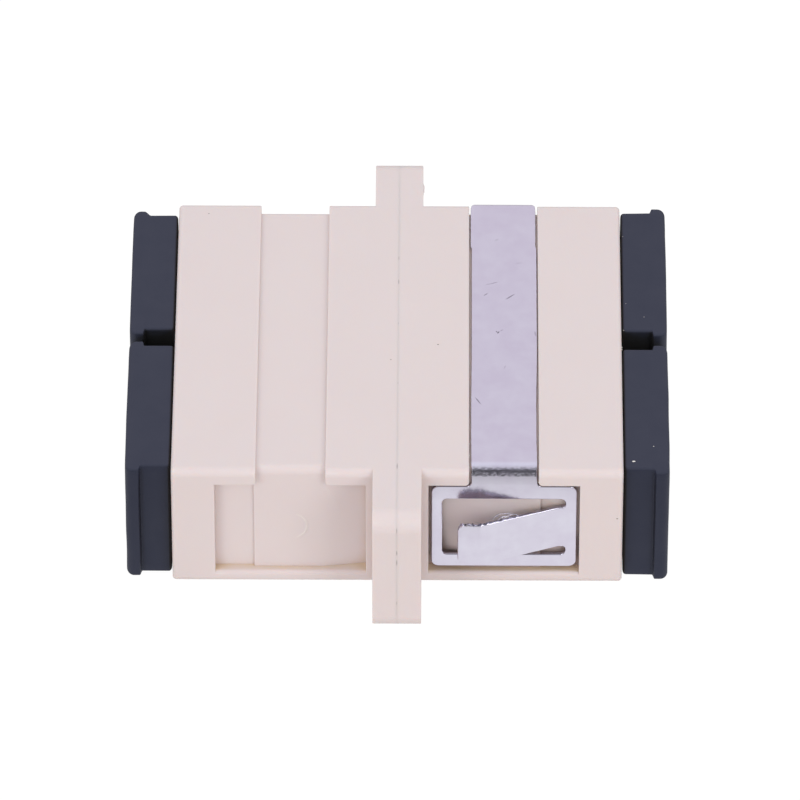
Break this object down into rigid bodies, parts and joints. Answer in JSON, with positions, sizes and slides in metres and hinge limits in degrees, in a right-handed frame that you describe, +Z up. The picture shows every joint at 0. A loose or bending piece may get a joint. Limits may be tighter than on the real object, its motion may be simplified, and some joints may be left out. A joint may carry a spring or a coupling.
{
  "type": "duplex fibre adapter",
  "caption": "Flanged beige coupler that joins fibre plugs end to end in paired channels, with a sprung steel panel clip and black push-in dust caps.",
  "frame": {"origin": "on the wide face that it rests on, under the middle of the flange's seam", "axes": "+X along the fibre axis towards the end with the panel clip, +Y along the row of channels, +Z up out of the wide face with the strap"},
  "size_m": [0.034, 0.0346, 0.0093],
  "materials": {
    "beige_housing": "fine satin moulded surface",
    "black_cap": "satin, slightly bluish black",
    "clip_steel": "bright rolled stainless sheet with fine scratches",
    "natural_holder": "natural moulded plastic",
    "bronze_sleeve": "phosphor bronze, drawn"
  },
  "bodies": {
    "adapter": {"housing_half_left": "beige_housing", "housing_half_right": "beige_housing", "panel_clip": "clip_steel", "latch_holder_front_left": "natural_holder", "latch_holder_front_right": "natural_holder", "latch_holder_back_left": "natural_holder", "latch_holder_back_right": "natural_holder", "alignment_sleeve_front": "bronze_sleeve", "alignment_sleeve_back": "bronze_sleeve"},
    "dust_cap_front_left": {"dust_cap_front_left": "black_cap"},
    "dust_cap_front_right": {"dust_cap_front_right": "black_cap"},
    "dust_cap_back_left": {"dust_cap_back_left": "black_cap"},
    "dust_cap_back_right": {"dust_cap_back_right": "black_cap"},
    "clip_tongue_front": {"clip_tongue_front": "clip_steel"},
    "clip_tongue_back": {"clip_tongue_back": "clip_steel"}
  },
  "joints": [
    {"name": "dust_cap_front_left_pull", "type": "slide", "parent": "adapter", "child": "dust_cap_front_left", "axis": [-1, 0, 0], "range_m": [0, 0.01]},
    {"name": "dust_cap_front_right_pull", "type": "slide", "parent": "adapter", "child": "dust_cap_front_right", "axis": [1, 0, 0], "range_m": [0, 0.01]},
    {"name": "dust_cap_back_left_pull", "type": "slide", "parent": "adapter", "child": "dust_cap_back_left", "axis": [-1, 0, 0], "range_m": [0, 0.01]},
    {"name": "dust_cap_back_right_pull", "type": "slide", "parent": "adapter", "child": "dust_cap_back_right", "axis": [1, 0, 0], "range_m": [0, 0.01]},
    {"name": "clip_tongue_front_press", "type": "hinge", "parent": "adapter", "child": "clip_tongue_front", "pos_m": [0.01009, -0.01252, 0.00457], "axis": [0, 0, -1], "range_deg": [0, 15], "stiffness_Nm_per_rad": 0.3},
    {"name": "clip_tongue_back_press", "type": "hinge", "parent": "adapter", "child": "clip_tongue_back", "pos_m": [0.01009, 0.01293, 0.00457], "axis": [0, 0, 1], "range_deg": [0, 15], "stiffness_Nm_per_rad": 0.3}
  ]
}
